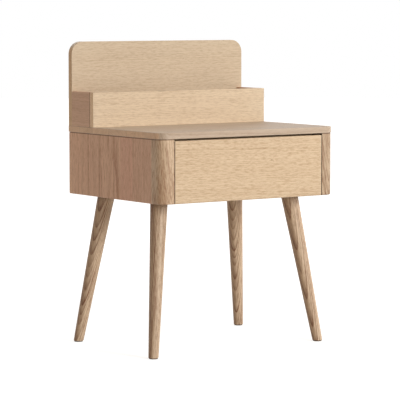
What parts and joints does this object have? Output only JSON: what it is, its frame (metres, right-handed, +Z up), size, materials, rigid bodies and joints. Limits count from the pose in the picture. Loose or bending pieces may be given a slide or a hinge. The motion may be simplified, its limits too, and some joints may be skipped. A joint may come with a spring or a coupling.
{
  "type": "nightstand with drawer",
  "caption": "Oak nightstand with an inset handleless drawer on telescopic slides, round splayed tapered legs, and an open tray in front of a tall round-cornered back board.",
  "frame": {"origin": "on the floor, under the middle of the top panel", "axes": "+Z up, -Y to the front where the drawer opens, +X to the right of someone facing the front"},
  "size_m": [0.5, 0.392, 0.7185],
  "materials": {
    "board_oak": "clear matt oil over straight-grained oak",
    "side_oak": "clear matt oil over upright oak staves",
    "post_oak": "clear matt oil over solid oak with an arched figure",
    "turned_oak": "clear matt oil over turned oak",
    "carcass_oak": "sanded and lightly oiled oak",
    "drawer_oak": "sanded and lightly oiled oak",
    "plywood": "sanded birch plywood",
    "beech": "fluted beech, unfinished",
    "slide_steel": "bright zinc-plated sheet",
    "plate_steel": "black powder coat",
    "fastener_steel": "zinc-plated",
    "felt": "dense wool felt"
  },
  "bodies": {
    "root": {"back_board": "board_oak", "base_panel": "carcass_oak", "batten_screws": "fastener_steel", "carcass_back": "carcass_oak", "carcass_dowels": "beech", "front_left_foot_pad": "felt", "front_left_leg": "turned_oak", "front_left_leg_plate": "plate_steel", "front_right_foot_pad": "felt", "front_right_leg": "turned_oak", "front_right_leg_plate": "plate_steel", "front_stretcher": "carcass_oak", "gallery_screws": "fastener_steel", "left_corner_post": "post_oak", "left_side_panel": "side_oak", "left_slide_batten": "carcass_oak", "left_slide_cabinet_member": "slide_steel", "left_top_cleat": "carcass_oak", "leg_bolts": "fastener_steel", "leg_plate_screws": "fastener_steel", "rear_left_foot_pad": "felt", "rear_left_leg": "turned_oak", "rear_left_leg_plate": "plate_steel", "rear_right_foot_pad": "felt", "rear_right_leg": "turned_oak", "rear_right_leg_plate": "plate_steel", "right_corner_post": "post_oak", "right_side_panel": "side_oak", "right_slide_batten": "carcass_oak", "right_slide_cabinet_member": "slide_steel", "right_top_cleat": "carcass_oak", "slide_cabinet_screws": "fastener_steel", "top_fixing_screws": "fastener_steel", "top_panel": "board_oak", "tray_dowels": "beech", "tray_front": "board_oak", "tray_left_side": "board_oak", "tray_right_side": "board_oak"},
    "drawer": {"drawer_front": "board_oak", "drawer_box_front": "drawer_oak", "drawer_left_side": "drawer_oak", "drawer_right_side": "drawer_oak", "drawer_back": "drawer_oak", "drawer_bottom": "plywood", "drawer_dowels": "beech", "drawer_front_screws": "fastener_steel", "slide_drawer_screws": "fastener_steel", "left_slide_drawer_member": "slide_steel", "right_slide_drawer_member": "slide_steel"},
    "left_slide_middle": {"left_slide_middle_member": "slide_steel"},
    "right_slide_middle": {"right_slide_middle_member": "slide_steel"}
  },
  "joints": [
    {"name": "drawer_slide", "type": "slide", "parent": "root", "child": "drawer", "axis": [0, -1, 0], "range_m": [0, 0.26]},
    {"name": "left_middle_slide", "type": "slide", "parent": "root", "child": "left_slide_middle", "axis": [0, -1, 0], "range_m": [0, 0.13]},
    {"name": "right_middle_slide", "type": "slide", "parent": "root", "child": "right_slide_middle", "axis": [0, -1, 0], "range_m": [0, 0.13]}
  ],
  "couplings": [
    {"joint": "left_middle_slide", "follows": "drawer_slide", "ratio": 0.5},
    {"joint": "right_middle_slide", "follows": "drawer_slide", "ratio": 0.5}
  ]
}
